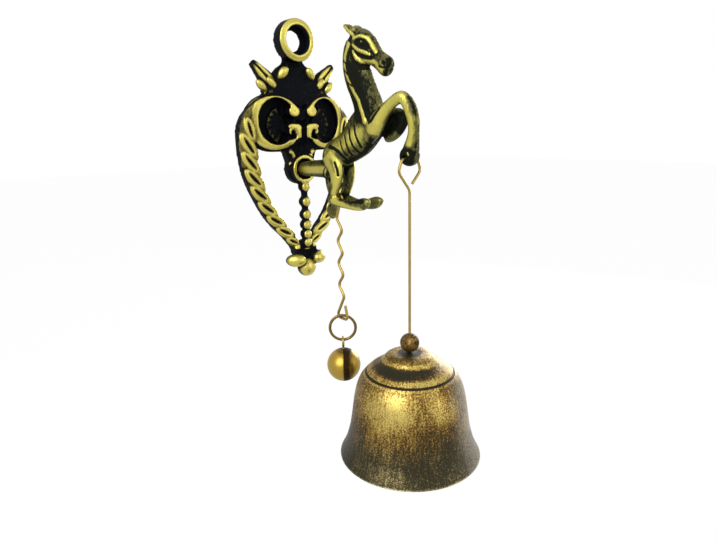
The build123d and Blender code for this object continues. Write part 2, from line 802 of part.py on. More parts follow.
pieces = {
    "wall_plate": wall_plate,
    "horse_bracket": horse_bracket,
    "bracket_screw": bracket_screw,
    "bell_wire": bell_wire,
    "bell_bead": bell_bead,
    "bell": bell,
    "striker_wire": striker_wire,
    "striker_ring": striker_ring,
    "striker_eye": striker_eye,
    "striker_ball": striker_ball,
}

os.makedirs("parts", exist_ok=True)
for name, make in pieces.items():
    export_step(make(), f"parts/{name}.step")
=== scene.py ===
# %% [markdown]
# # Dressing a horse door bell
# The CAD part is packed already: a wall plate, a rearing horse, a bell on a wire and a ball striker. This
# lesson loads it as a fixed frame and makes it look like old brass that was blackened and rubbed bright.
# The wall is Y = 0, the front is -Y, and +Z is up. Places are metres, except in the steps that sculpt and
# rub the two castings, which work in millimetres.

# %% Load the frame
import math
from functools import partial

import bpy
import numpy as np
from mathutils import Matrix, Vector


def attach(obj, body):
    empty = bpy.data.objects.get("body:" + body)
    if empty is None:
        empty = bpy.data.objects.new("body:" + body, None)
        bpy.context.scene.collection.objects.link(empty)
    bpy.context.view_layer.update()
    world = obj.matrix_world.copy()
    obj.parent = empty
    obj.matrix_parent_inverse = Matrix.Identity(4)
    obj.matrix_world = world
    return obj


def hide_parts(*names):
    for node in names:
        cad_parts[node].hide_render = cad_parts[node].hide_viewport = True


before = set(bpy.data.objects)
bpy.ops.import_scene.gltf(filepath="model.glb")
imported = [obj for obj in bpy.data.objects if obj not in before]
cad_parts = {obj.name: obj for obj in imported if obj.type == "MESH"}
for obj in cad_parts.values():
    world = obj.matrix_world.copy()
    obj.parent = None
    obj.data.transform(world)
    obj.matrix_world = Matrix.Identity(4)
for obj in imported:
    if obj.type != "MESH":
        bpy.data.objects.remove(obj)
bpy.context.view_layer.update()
print("nodes:", sorted(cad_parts))

# %% [markdown]
# ## Camera
# The photo was taken from the viewer's left, looking a little down and from very near, so the bell, which
# stands out towards the camera, looks large beside the plate. The camera goes to the place that was
# worked out from the photo, and a lens of about 28 mm takes in the whole object from there.

# %% Camera
camera_place = Vector((-0.1397, -0.21352, -0.03686))
camera_turn = math.radians(-39.175)
camera_tilt = math.radians(14.173)
camera_roll = math.radians(-1.339)
lens_mm = 27.97
sensor_mm = 36.0

back = Vector((math.sin(camera_turn) * math.cos(camera_tilt), -math.cos(camera_turn) * math.cos(camera_tilt),
               math.sin(camera_tilt)))
level_right = Vector((math.cos(camera_turn), math.sin(camera_turn), 0))
level_up = back.cross(level_right)
right = level_right * math.cos(camera_roll) + level_up * math.sin(camera_roll)
up = back.cross(right)
bpy.ops.object.camera_add(location=camera_place)
camera = bpy.context.object
camera.matrix_world = Matrix.Translation(camera_place) @ Matrix((right, up, back)).transposed().to_4x4()
camera.data.lens = lens_mm
camera.data.sensor_width = sensor_mm
camera.data.clip_start = 0.01
bpy.context.scene.camera = camera
print("camera at", tuple(round(v, 3) for v in camera_place))

# %% [markdown]
# ## Stage
# The object hangs in front of plain white. The world and the floor are white to the camera, to mirror rays
# and to rays that pass through, and dimmer as a light, so that the lamps can shape the object.

# %% World
scene = bpy.context.scene
scene.view_settings.view_transform = "Standard"
sky_as_light = 0.5


def math_node(tree, operation, first, second=0.0):
    """One Math node whose inputs are sockets or numbers."""
    node = tree.nodes.new("ShaderNodeMath")
    node.operation = operation
    for index, value in enumerate((first, second)):
        if isinstance(value, bpy.types.NodeSocket):
            tree.links.new(value, node.inputs[index])
        else:
            node.inputs[index].default_value = value
    return node.outputs[0]


def seen_rays(tree):
    """1 for rays that show the background, 0 for rays that only light."""
    path = tree.nodes.new("ShaderNodeLightPath")
    direct = math_node(tree, "MAXIMUM", path.outputs["Is Camera Ray"], path.outputs["Is Glossy Ray"])
    return math_node(tree, "MAXIMUM", direct, path.outputs["Is Transmission Ray"])


world = bpy.data.worlds.new("white_room")
scene.world = world
world.use_nodes = True
background = world.node_tree.nodes["Background"]
background.inputs["Color"].default_value = (1, 1, 1, 1)
strength = world.node_tree.nodes.new("ShaderNodeMapRange")
strength.inputs["To Min"].default_value = sky_as_light
strength.inputs["To Max"].default_value = 1.0
world.node_tree.links.new(seen_rays(world.node_tree), strength.inputs["Value"])
world.node_tree.links.new(strength.outputs["Result"], background.inputs["Strength"])
print("world:", world.name)

# %% Floor
floor_height = -0.30
floor_glow = 0.97
bpy.ops.mesh.primitive_plane_add(size=8, location=(0, 0, floor_height))
floor = bpy.context.object
floor.name = "floor"
white = bpy.data.materials.new("white_floor")
white.use_nodes = True
floor_tree = white.node_tree
surface = floor_tree.nodes["Principled BSDF"]
surface.inputs["Base Color"].default_value = (0.9, 0.9, 0.9, 1)
surface.inputs["Roughness"].default_value = 1.0
surface.inputs["Specular IOR Level"].default_value = 0.0
glow = floor_tree.nodes.new("ShaderNodeEmission")
blend = floor_tree.nodes.new("ShaderNodeMixShader")
floor_tree.links.new(math_node(floor_tree, "MULTIPLY", seen_rays(floor_tree), floor_glow), blend.inputs[0])
floor_tree.links.new(surface.outputs[0], blend.inputs[1])
floor_tree.links.new(glow.outputs[0], blend.inputs[2])
floor_tree.links.new(blend.outputs[0], floor_tree.nodes["Material Output"].inputs["Surface"])
floor.data.materials.append(white)
print("floor:", floor.name)

# %% [markdown]
# ## Lamps
# One large soft lamp on the left gives the bright side of the bell, a weaker one in front opens the shadows,
# and one behind on the right draws a pale line down the right-hand edges.

# %% Lamps
lamp_aim = Vector((0, -0.04, -0.09))
# place, size in metres and power in watts
lamps = {
    "key": (Vector((-0.60, -0.25, 0.32)), 0.60, 6.0),
    "fill": (Vector((0.30, -0.85, 0.20)), 0.80, 3.0),
    "edge": (Vector((0.75, 0.28, 0.05)), 0.45, 5.0),
}
for lamp_name, (place, size, power) in lamps.items():
    bpy.ops.object.light_add(type="AREA", location=place)
    lamp = bpy.context.object
    lamp.name = "lamp_" + lamp_name
    lamp.data.size = size
    lamp.data.energy = power
    lamp.rotation_euler = (place - lamp_aim).to_track_quat("Z", "Y").to_euler()
print("lamps:", sorted(lamps))

# %% [markdown]
# ## Rubbed metal as one shared effect
# The castings look as if they were made black and then rubbed: metal shows yellow on each raised face, and
# each hollow stays black. One number says how far a point is rubbed. A node group turns that number, with
# some grain, into the colour, the roughness and the share of metal.

# %% Node helpers


def new_group(name, inputs, outputs):
    """An empty node group with named sockets, and its two end nodes."""
    group = bpy.data.node_groups.new(name, "ShaderNodeTree")
    for socket_name, kind, value in inputs:
        socket = group.interface.new_socket(socket_name, in_out="INPUT", socket_type=kind)
        socket.default_value = value
    for socket_name, kind in outputs:
        group.interface.new_socket(socket_name, in_out="OUTPUT", socket_type=kind)
    return group, group.nodes.new("NodeGroupInput"), group.nodes.new("NodeGroupOutput")


def noise_node(tree, vector, scale, detail=4.0, roughness=0.6):
    """A noise texture that reads the given coordinates."""
    node = tree.nodes.new("ShaderNodeTexNoise")
    node.inputs["Scale"].default_value = scale
    node.inputs["Detail"].default_value = detail
    node.inputs["Roughness"].default_value = roughness
    tree.links.new(vector, node.inputs["Vector"])
    return node.outputs["Fac"]


def stretched(tree, vector, factors):
    """Coordinates multiplied axis by axis."""
    node = tree.nodes.new("ShaderNodeVectorMath")
    node.operation = "MULTIPLY"
    tree.links.new(vector, node.inputs[0])
    node.inputs[1].default_value = factors
    return node.outputs[0]


def colour_mix(tree, share, first, second):
    """A colour between two colours."""
    node = tree.nodes.new("ShaderNodeMix")
    node.data_type = "RGBA"
    tree.links.new(share, node.inputs[0])
    for index, value in ((6, first), (7, second)):
        if isinstance(value, bpy.types.NodeSocket):
            tree.links.new(value, node.inputs[index])
        else:
            node.inputs[index].default_value = value
    return node.outputs[2]


def step(tree, value, low, high, to_low=0.0, to_high=1.0):
    """A clamped, smooth step from one range to another."""
    node = tree.nodes.new("ShaderNodeMapRange")
    node.interpolation_type = "SMOOTHSTEP"
    tree.links.new(value, node.inputs["Value"])
    for key, number in (("From Min", low), ("From Max", high), ("To Min", to_low), ("To Max", to_high)):
        node.inputs[key].default_value = number
    return node.outputs["Result"]


def weighted(tree, terms):
    """Sum of sockets, each taken from its middle and times a weight."""
    total = None
    for socket, weight in terms:
        part = math_node(tree, "MULTIPLY", math_node(tree, "SUBTRACT", socket, 0.5), weight)
        total = part if total is None else math_node(tree, "ADD", total, part)
    return total


def give_results(group, leave, results):
    """Join each result to the group's output of that name."""
    for socket_name, socket in results.items():
        group.links.new(socket, leave.inputs[socket_name])


surface_outputs = [
    ("Color", "NodeSocketColor"), ("Roughness", "NodeSocketFloat"), ("Metallic", "NodeSocketFloat"),
    ("Specular", "NodeSocketFloat"), ("Height", "NodeSocketFloat"),
]
print("each metal group gives:", [name for name, kind in surface_outputs])

# %% Grain of rubbed metal
rubbed_metal, enter, leave = new_group(
    "rubbed_metal",
    [("Coordinates", "NodeSocketVector", (0, 0, 0)), ("Wear", "NodeSocketFloat", 0.5),
     ("Black", "NodeSocketColor", (0.01, 0.01, 0.01, 1)),
     ("Shade", "NodeSocketColor", (0.16, 0.12, 0.03, 1)),
     ("Bright", "NodeSocketColor", (0.6, 0.5, 0.16, 1)), ("Grain", "NodeSocketFloat", 0.35)],
    surface_outputs,
)
rub_math = partial(math_node, rubbed_metal)
rub_step = partial(step, rubbed_metal)
place = enter.outputs["Coordinates"]
wear_given = enter.outputs["Wear"]
upright = stretched(rubbed_metal, place, (1, 1, 0.3))
coarse = noise_node(rubbed_metal, place, 350, 5.0, 0.65)
fine = noise_node(rubbed_metal, place, 1600, 3.0, 0.6)
hair = noise_node(rubbed_metal, upright, 1500, 2.0, 0.5)
grain = weighted(rubbed_metal, ((coarse, 1.0), (fine, 0.6), (hair, 0.9)))
# the grain is weaker where the metal is rubbed bare and where it is left black
grain = rub_math("MULTIPLY", grain, rub_step(wear_given, 0.3, 1.0, 1.0, 0.45))
grain = rub_math("MULTIPLY", grain, rub_step(wear_given, -0.5, 0.1, 0.3, 1.0))
worn = rub_math("ADD", wear_given, rub_math("MULTIPLY", grain, enter.outputs["Grain"]))
print("grain of:", rubbed_metal.name)

# %% Colour of rubbed metal
shaded = colour_mix(rubbed_metal, rub_step(worn, 0.05, 0.50), enter.outputs["Black"], enter.outputs["Shade"])
give_results(rubbed_metal, leave, {
    "Color": colour_mix(rubbed_metal, rub_step(worn, 0.40, 1.00), shaded, enter.outputs["Bright"]),
    "Roughness": rub_step(worn, 0.1, 0.8, 0.55, 0.36),
    "Metallic": rub_step(worn, 0.2, 0.6, 0.1, 0.9),
    "Specular": rub_step(worn, 0.1, 0.6, 0.04, 0.5),
    "Height": weighted(rubbed_metal, ((coarse, 0.8), (fine, 0.4), (hair, 1.0))),
})
print("group:", rubbed_metal.name)

# %% Helpers for a material
bump_distance = 0.0002


def metal_material(name):
    """A material, its tree and its Principled node."""
    material = bpy.data.materials.new(name)
    material.use_nodes = True
    return material, material.node_tree, material.node_tree.nodes["Principled BSDF"]


def feed_surface(tree, effect, surface, bump):
    """Join a group's outputs to the Principled node, with its height as a bump."""
    relief = tree.nodes.new("ShaderNodeBump")
    relief.inputs["Strength"].default_value = bump
    relief.inputs["Distance"].default_value = bump_distance
    tree.links.new(effect.outputs["Color"], surface.inputs["Base Color"])
    tree.links.new(effect.outputs["Roughness"], surface.inputs["Roughness"])
    tree.links.new(effect.outputs["Metallic"], surface.inputs["Metallic"])
    tree.links.new(effect.outputs["Specular"], surface.inputs["Specular IOR Level"])
    tree.links.new(effect.outputs["Height"], relief.inputs["Height"])
    tree.links.new(relief.outputs["Normal"], surface.inputs["Normal"])


def rubbed_material(name, black, shade, bright, grain, bump, wear=None):
    """Rubbed metal whose wear is one number, or the mesh's own wear map."""
    material, tree, surface = metal_material(name)
    coordinates = tree.nodes.new("ShaderNodeTexCoord")
    effect = tree.nodes.new("ShaderNodeGroup")
    effect.node_tree = rubbed_metal
    tree.links.new(coordinates.outputs["Object"], effect.inputs["Coordinates"])
    if wear is None:
        wear_map = tree.nodes.new("ShaderNodeAttribute")
        wear_map.attribute_name = "wear"
        tree.links.new(wear_map.outputs["Fac"], effect.inputs["Wear"])
    else:
        effect.inputs["Wear"].default_value = wear
    effect.inputs["Black"].default_value = (*black, 1)
    effect.inputs["Shade"].default_value = (*shade, 1)
    effect.inputs["Bright"].default_value = (*bright, 1)
    effect.inputs["Grain"].default_value = grain
    feed_surface(tree, effect, surface, bump)
    return material


# %% Materials of rubbed metal
# black, shade, bright, grain, bump, and the wear, or None where the mesh has a wear map
rubbed_finishes = {
    "plate_metal": ((0.002, 0.0025, 0.004), (0.13, 0.105, 0.018), (0.50, 0.43, 0.095), 0.5, 0.4, None),
    "horse_metal": ((0.005, 0.006, 0.003), (0.085, 0.08, 0.017), (0.49, 0.44, 0.09), 0.85, 0.8, None),
    "wire_metal": ((0.02, 0.015, 0.006), (0.24, 0.17, 0.035), (0.50, 0.37, 0.10), 0.3, 0.1, 0.62),
    "ring_metal": ((0.02, 0.012, 0.003), (0.13, 0.075, 0.015), (0.42, 0.30, 0.07), 0.6, 0.1, 0.50),
    "ball_metal": ((0.02, 0.012, 0.003), (0.16, 0.09, 0.012), (0.40, 0.27, 0.045), 0.4, 0.08, 0.50),
    "bead_metal": ((0.012, 0.007, 0.002), (0.12, 0.065, 0.012), (0.42, 0.30, 0.07), 1.3, 0.6, 0.38),
    "screw_metal": ((0.05, 0.05, 0.05), (0.3, 0.3, 0.3), (0.6, 0.6, 0.6), 0.2, 0.05, 0.8),
}
metals = {name: rubbed_material(name, *values) for name, values in rubbed_finishes.items()}
print("materials:", sorted(metals))

# %% [markdown]
# ## Seam of the ball
# A thin upright seam is seen on the ball. The metal is bright on the left of it, dark just past it and
# brighter again further right, and the ball's top is dark. This pattern takes the place of the ball's one
# number for wear.

# %% Seam of the ball
ball_axis_y = -0.0306
# the camera's sideways direction is (0.775, -0.632), so the seam stands where the photo shows it
sideways_x = 0.775
sideways_y = 0.632
ball_tree = metals["ball_metal"].node_tree
ball_math = partial(math_node, ball_tree)
ball_coordinates = next(node for node in ball_tree.nodes if node.type == "TEX_COORD")
ball_effect = next(node for node in ball_tree.nodes if node.type == "GROUP")
ball_place = ball_tree.nodes.new("ShaderNodeSeparateXYZ")
ball_tree.links.new(ball_coordinates.outputs["Object"], ball_place.inputs[0])
aside = ball_math("MULTIPLY", ball_place.outputs["X"], sideways_x)
inward = ball_math("MULTIPLY", ball_math("SUBTRACT", ball_place.outputs["Y"], ball_axis_y), sideways_y)
past_seam = ball_math("SUBTRACT", aside, inward)
bright_left = step(ball_tree, past_seam, -0.0004, 0.0003, 0.85, 0.05)
bright_right = step(ball_tree, past_seam, 0.0016, 0.0050, 0.0, 0.75)
dark_top = step(ball_tree, ball_place.outputs["Z"], -0.1320, -0.1300, 0.0, -0.8)
ball_wear = ball_math("ADD", ball_math("ADD", bright_left, bright_right), dark_top)
ball_tree.links.new(ball_wear, ball_effect.inputs["Wear"])
print("seam drawn on:", metals["ball_metal"].name)

# %% [markdown]
# ## Brushed bell
# The bell's grain runs in upright streaks, as if it was brushed up and down. Streaks need coordinates that
# go round the bell, so the group first finds each point's angle about the bell's own axis. The angle is 0
# at the front, and it grows towards +X.

# %% Coordinates round the bell
bell_axis_y = -0.0721
bell_mean_radius = 0.022
brushed_bell, enter, leave = new_group(
    "brushed_bell", [("Coordinates", "NodeSocketVector", (0, 0, 0))], surface_outputs)
bell_math = partial(math_node, brushed_bell)
bell_step = partial(step, brushed_bell)
bell_mix = partial(colour_mix, brushed_bell)
place = enter.outputs["Coordinates"]
split = brushed_bell.nodes.new("ShaderNodeSeparateXYZ")
brushed_bell.links.new(place, split.inputs[0])
bell_height = split.outputs["Z"]
depth = bell_math("SUBTRACT", split.outputs["Y"], bell_axis_y)
angle = bell_math("ARCTAN2", split.outputs["X"], bell_math("MULTIPLY", depth, -1.0))
rolled = brushed_bell.nodes.new("ShaderNodeCombineXYZ")
brushed_bell.links.new(bell_math("MULTIPLY", angle, bell_mean_radius), rolled.inputs["X"])
brushed_bell.links.new(bell_height, rolled.inputs["Z"])
from_axis = brushed_bell.nodes.new("ShaderNodeCombineXYZ")
brushed_bell.links.new(split.outputs["X"], from_axis.inputs["X"])
brushed_bell.links.new(depth, from_axis.inputs["Y"])
radius = brushed_bell.nodes.new("ShaderNodeVectorMath")
radius.operation = "LENGTH"
brushed_bell.links.new(from_axis.outputs[0], radius.inputs[0])
print("group:", brushed_bell.name)

# %% Grain of the bell
fine_way = stretched(brushed_bell, rolled.outputs[0], (1, 1, 0.12))
broad_way = stretched(brushed_bell, rolled.outputs[0], (1, 1, 0.2))
streaks = noise_node(brushed_bell, fine_way, 1300, 3.0, 0.6)
broad_streaks = noise_node(brushed_bell, broad_way, 260, 3.0, 0.6)
flecks = noise_node(brushed_bell, place, 1900, 4.0, 0.7)
patches = noise_node(brushed_bell, place, 90, 3.0, 0.6)
mottle = weighted(brushed_bell, ((flecks, 3.2), (streaks, 1.2), (broad_streaks, 0.5), (patches, 0.8)))
print("noise textures of the bell:", sum(node.type == "TEX_NOISE" for node in brushed_bell.nodes))

# %% [markdown]
# ## Light and dark parts of the bell
# One number, the level, says how light the bell is at each point, and part of it is painted light. It rises
# from the rim upwards. Soft patches, with a painted highlight on the left where the key lamp falls and
# painted shade on the left under the crown's edge, bands at the crown's steps and the rim, with a painted
# highlight on the crown's edge and painted shade below it, a painted shadow under the bead and the mottled
# grain are added to it.

# %% Level of the bell
patch_edge = 2.2
level = bell_step(bell_height, -0.158, -0.134, 0.02, 0.40)
# the bright patches high on the left are a painted highlight where the key lamp falls, and the strong dark
# patch on the left under the crown's edge is painted shade
# angle round the bell, height, half sizes, strength
tone_and_painted_light_patches = (
    (-1.15, -0.1350, 0.45, 0.0060, 0.40), (-0.10, -0.1355, 0.35, 0.0040, 0.25),
    (-1.25, -0.1570, 0.35, 0.0025, 0.28), (-0.45, -0.1460, 0.60, 0.0060, -0.06),
    (-0.60, -0.1560, 0.90, 0.0035, -0.08), (-1.20, -0.1450, 0.30, 0.0060, 0.12),
    (-1.00, -0.1236, 1.00, 0.0013, -0.80), (-0.30, -0.1250, 0.60, 0.0014, 0.25),
    (0.40, -0.1300, 0.50, 0.0060, -0.10), (-2.0, -0.1500, 0.50, 0.0120, -0.12),
)
for patch_angle, patch_height, half_angle, half_height, gain in tone_and_painted_light_patches:
    across = bell_math("DIVIDE", bell_math("SUBTRACT", angle, patch_angle), half_angle)
    along = bell_math("DIVIDE", bell_math("SUBTRACT", bell_height, patch_height), half_height)
    away = bell_math("ADD", bell_math("POWER", bell_math("ABSOLUTE", across), 2.0),
                     bell_math("POWER", bell_math("ABSOLUTE", along), 2.0))
    level = bell_math("ADD", level, bell_step(away, 0.0, patch_edge, gain, 0.0))
# the bright band at the crown's edge is a painted highlight, and the band just below it is painted shade
# lowest and highest place, soft edge, strength
bands = (
    (-0.12725, -0.12665, 0.0001, -0.9), (-0.1279, -0.1275, 0.0003, 0.25),
    (-0.1224, -0.1212, 0.0003, 0.28), (-0.1245, -0.1230, 0.0004, -0.12),
    (-0.1265, -0.1254, 0.0003, 0.22), (-0.1610, -0.1606, 0.0002, 0.5),
)
for low, high, soft, gain in bands:
    inside = bell_math("MULTIPLY", bell_step(bell_height, low - soft, low),
                       bell_step(bell_height, high + soft, high))
    level = bell_math("ADD", level, bell_math("MULTIPLY", inside, gain))
# painted shadow and painted reflection of the bead: the crown goes dark close round it
painted_bead_shadow = bell_step(radius.outputs["Value"], 0.0036, 0.0052, -1.2, 0.0)
level = bell_math("ADD", bell_math("ADD", level, painted_bead_shadow), mottle)
print("patches and bands:", len(tone_and_painted_light_patches), len(bands))

# %% Colour of the bell
dark_olive = (0.022, 0.020, 0.009, 1)
brown = (0.17, 0.088, 0.018, 1)
straw = (0.50, 0.39, 0.11, 1)
dull_brown = (0.115, 0.088, 0.038, 1)
dull_straw = (0.30, 0.265, 0.14, 1)
reflection_grey = (0.56, 0.50, 0.40, 1)
higher_up = bell_step(bell_height, -0.157, -0.143)
tarnish = bell_mix(higher_up, dull_brown, brown)
lighter_tone = bell_mix(higher_up, dull_straw, straw)
# the level, with its painted highlights and painted shade, picks the tone; the tones are duller lower down
body = bell_mix(bell_step(level, -0.05, 0.40), dark_olive, tarnish)
body = bell_mix(bell_step(level, 0.30, 1.05), body, lighter_tone)
# a painted reflection: pale grey right of the bell's front, weaker in the dark parts and towards the crown
painted_reflection = bell_math("MULTIPLY", bell_step(angle, -0.10, 0.60), bell_step(angle, 1.0, 1.8, 0.6, 0.0))
painted_reflection = bell_math("MULTIPLY", painted_reflection, bell_step(level, -0.4, 0.6, 0.35, 1.0))
painted_reflection = bell_math("MULTIPLY", painted_reflection, bell_step(bell_height, -0.132, -0.126, 1.0, 0.25))
give_results(brushed_bell, leave, {
    "Color": bell_mix(painted_reflection, body, reflection_grey),
    "Roughness": bell_step(level, 0.1, 0.7, 0.50, 0.42),
    "Metallic": bell_step(level, -0.5, 0.3, 0.3, 1.0),
    "Specular": bell_step(level, -0.5, 0.3, 0.1, 0.5),
    "Height": weighted(brushed_bell, ((streaks, 1.0), (flecks, 0.4))),
})
print("colours of:", brushed_bell.name)

# %% Bell material
bell_bump = 0.25
metals["bell_metal"], tree, surface = metal_material("bell_metal")
coordinates = tree.nodes.new("ShaderNodeTexCoord")
effect = tree.nodes.new("ShaderNodeGroup")
effect.node_tree = brushed_bell
tree.links.new(coordinates.outputs["Object"], effect.inputs["Coordinates"])
feed_surface(tree, effect, surface, bell_bump)
print("material:", metals["bell_metal"].name)

# %% [markdown]
# ## Finer castings
# A casting has soft joins. The CAD shape is copied, its skin is rebuilt as even small squares by a Remesh
# modifier, and then it can be sculpted by moving its points.

# %% Helpers for a cast skin
mm_in_m = 1000
skin_smoothing = 2
lowest_wear = -0.5
highest_wear = 1.1


def deselect_all():
    """No object is selected afterwards."""
    for thing in bpy.context.selected_objects:
        thing.select_set(False)



def cast_copy(node, name, cell, smoothing, lumps=()):
    """A copy of a CAD node with an even, softened skin. Each lump is a fused ball: centre, half sizes."""
    deselect_all()
    piece = bpy.data.objects.new(name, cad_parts[node].data.copy())
    scene.collection.objects.link(piece)
    bpy.context.view_layer.objects.active = piece
    piece.select_set(True)
    bpy.ops.object.mode_set(mode="EDIT")
    bpy.ops.mesh.select_all(action="SELECT")
    bpy.ops.mesh.remove_doubles(threshold=0.000002)
    bpy.ops.object.mode_set(mode="OBJECT")
    for centre, half_sizes in lumps:
        deselect_all()
        bpy.ops.mesh.primitive_uv_sphere_add(segments=32, ring_count=16, radius=1,
                                             location=centre, scale=half_sizes)
        bpy.context.object.select_set(True)
        piece.select_set(True)
        bpy.context.view_layer.objects.active = piece
        bpy.ops.object.join()
    remesh = piece.modifiers.new("skin", "REMESH")
    remesh.mode = "VOXEL"
    remesh.voxel_size = cell
    remesh.use_smooth_shade = True
    bpy.ops.object.modifier_apply(modifier="skin")
    soften = piece.modifiers.new("soften", "SMOOTH")
    soften.factor = 0.5
    soften.iterations = smoothing
    bpy.ops.object.modifier_apply(modifier="soften")
    print(name, "has", len(piece.data.polygons), "faces")
    return piece


def read_mesh(mesh):
    """Points in millimetres, normals and edges as arrays."""
    count = len(mesh.vertices)
    points = np.zeros(count * 3)
    normals = np.zeros(count * 3)
    edges = np.zeros(len(mesh.edges) * 2, dtype=np.int32)
    mesh.vertices.foreach_get("co", points)
    mesh.vertices.foreach_get("normal", normals)
    mesh.edges.foreach_get("vertices", edges)
    return points.reshape(-1, 3) * mm_in_m, normals.reshape(-1, 3), edges.reshape(-1, 2)


def move_points(piece, points):
    """Put changed points, in millimetres, back on the mesh."""
    piece.data.vertices.foreach_set("co", (points / mm_in_m).ravel())
    piece.data.update()


def averaged(values, edges, rounds):
    """Each row replaced by the mean of its neighbours, several times over."""
    count = len(values)
    degree = np.maximum(np.bincount(edges.ravel(), minlength=count), 1).astype(float)
    result = values.copy()
    for _ in range(rounds):
        total = np.zeros_like(result)
        for column in range(result.shape[1]):
            total[:, column] = (np.bincount(edges[:, 0], result[edges[:, 1], column], count)
                                + np.bincount(edges[:, 1], result[edges[:, 0], column], count))
        result = total / degree[:, None]
    return result


def smooth_step(value, low, high):
    """0 below low, 1 above high, smooth between."""
    share = np.clip((value - low) / (high - low), 0, 1)
    return share * share * (3 - 2 * share)


def proudness(points, normals, edges, rounds):
    """How far each point stands out of its softened surroundings, in millimetres."""
    return np.einsum("ij,ij->i", points - averaged(points, edges, rounds), normals)


def line_share(flat_points, line, width):
    """1 on the line, 0 at its width, smooth between."""
    nearest = np.full(len(flat_points), np.inf)
    for start, end in zip(line[:-1], line[1:]):
        start = np.array(start)
        run = np.array(end) - start
        along = np.clip((flat_points - start) @ run / (run @ run), 0, 1)
        nearest = np.minimum(nearest, np.hypot(*(flat_points - start - along[:, None] * run).T))
    return smooth_step(width - nearest, 0, width * 0.8)


def write_wear(piece, wear):
    """Store the wear map on the mesh for the material to read."""
    layer = piece.data.attributes.new("wear", "FLOAT", "POINT")
    layer.data.foreach_set("value", np.clip(wear, lowest_wear, highest_wear).astype(np.float32))
    print(piece.name, "mean wear", round(float(wear.mean()), 2))


# %% [markdown]
# ## Skin of the plate
# The tips of the scrolls are finer on the real plate than in the CAD shape, so short lines are cut into the
# new skin. The cuts mirror each other left and right, so a place is given as its distance from the middle
# and its height.

# %% Plate skin
plate_cell = 0.00045
plate = cast_copy("wall_plate", "plate_casting", plate_cell, skin_smoothing)
plate.data.materials.clear()
plate.data.materials.append(metals["plate_metal"])
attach(plate, "bracket")
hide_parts("wall_plate")

# %% Cuts in the scrolls
scroll_reach = 3.5
# width, drop and line of each cut
scroll_cuts = [
    (1.5, 2.6, [(5.3, -37.4), (4.7, -38.9), (6.6, -39.4)]), (1.5, 1.6, [(0.9, -33.9), (1.9, -33.3)]),
    (1.6, 1.2, [(0.5, -41.0), (1.5, -42.4)]), (0.9, 1.2, [(1.2, -27.4), (2.6, -26.6)]),
]
points, _, _ = read_mesh(plate.data)
plate_flat = np.stack((np.abs(points[:, 0]), points[:, 2]), axis=1)
for width, drop, line in scroll_cuts:
    points[:, 1] += drop * line_share(plate_flat, line, width) * (points[:, 1] < -scroll_reach)
move_points(plate, points)
print("cuts on each side:", len(scroll_cuts))

# %% [markdown]
# ## Wear of the plate
# A flat rubbing pad only reaches what stands proud. Each part of the relief has a reach, its distance from
# the wall, below which it stays black: high over the scroll field and in the boss, lower on the border and
# the leaves. Side walls are not rubbed, so the wear also falls off where a face turns away from the front.

# %% Zones of the plate
points, normals, edges = read_mesh(plate.data)
side = np.abs(points[:, 0])
reach = -points[:, 1]
height = points[:, 2]
border_black = 3.55
leaf_black = 2.7
leaf_foot = -21.5
boss_height = -53.1
boss_edge = 7.0
foot_top = -88.6
ring_edge = 8.8
boss_distance = np.hypot(points[:, 0], height - boss_height)
ring_distance = np.hypot(points[:, 0], height)
on_leaves = height > leaf_foot
between_leaves = on_leaves & (side < 4.5 - 0.6 * (height + 8.0))
in_oval = ((side - 13.1) / 13.4) ** 2 + ((height + 33.5) / 12.2) ** 2 < 1
in_field = in_oval | ((side < 12) & (height < leaf_foot) & (height > -46))
# the field is crowned, so its front falls away from its middle
field_front = 6.0 - (side ** 2 + (height + 33.0) ** 2) / 140.0
# each zone and the reach below which it stays black. A later zone lies over an earlier one
zones = {
    "leaves": (on_leaves, leaf_black),
    "between the leaves": (between_leaves, np.maximum(field_front + 0.4, leaf_black)),
    "scroll field": (in_field, field_front + 1.3),
    "curls": ((side < 10) & (height < -43) & (height > -52), 4.8),
    "middle patch": ((side < 4.5) & (height < -40.5) & (height > -47), 9.0),
    "boss": (boss_distance < boss_edge, 6.4),
    "beaded rib": ((side < 3.4) & (height < -59.5) & (height > foot_top), 6.8),
    "foot": ((side < 6.0) & (height <= foot_top) & (height > -95.6), 5.6),
    "ring": (ring_distance < ring_edge, 5.2),
}
black_below = np.full(len(points), border_black)
for zone, zone_black in zones.values():
    black_below = np.where(zone, zone_black, black_below)
print("zones:", sorted(zones))

# %% Wear of the plate
full_rub = 0.86
no_rub = -0.2
relief_gain = 2.6
low_share = 0.15
ring_trim = 0.10
leaf_trim = 0.30
leaf_edge_gain = 2.5
shell_edge_gain = 0.9
shell_trim = 0.1
shell_reach = 4.2
shell_side = 6.5
shoulder_width = 2.4
shoulder_wear = 0.36
cut_wear = -0.4
cut_reach = 3.0
# a line down the heart's shoulder that is half rubbed
shoulder_line = [(20.0, -23.2), (24.4, -28.4), (27.2, -34.6), (28.6, -42.0), (28.2, -50.0)]
facing = smooth_step(-normals[:, 1], 0.10, 0.55)
raised = smooth_step(reach - black_below, -0.1, 0.7)
cavity = proudness(points, normals, edges, 10)
relief = np.clip(cavity, -0.3, 0.25) * relief_gain * (low_share + raised)
wear = raised * facing * full_rub + no_rub + relief
wear = np.where((ring_distance < ring_edge) & (raised > 0.5), wear - ring_trim, wear)
leaf = on_leaves & (ring_distance > ring_edge) & (reach > leaf_black)
wear = np.where(leaf, wear - leaf_trim + np.clip(cavity, 0, 0.2) * leaf_edge_gain, wear)
shell_lines = in_field & (reach < shell_reach) & (side > shell_side)
wear = np.where(shell_lines, np.clip(cavity, 0, 1) * shell_edge_gain * facing - shell_trim, wear)
wear = np.maximum(wear, line_share(plate_flat, shoulder_line, shoulder_width) * facing * shoulder_wear)
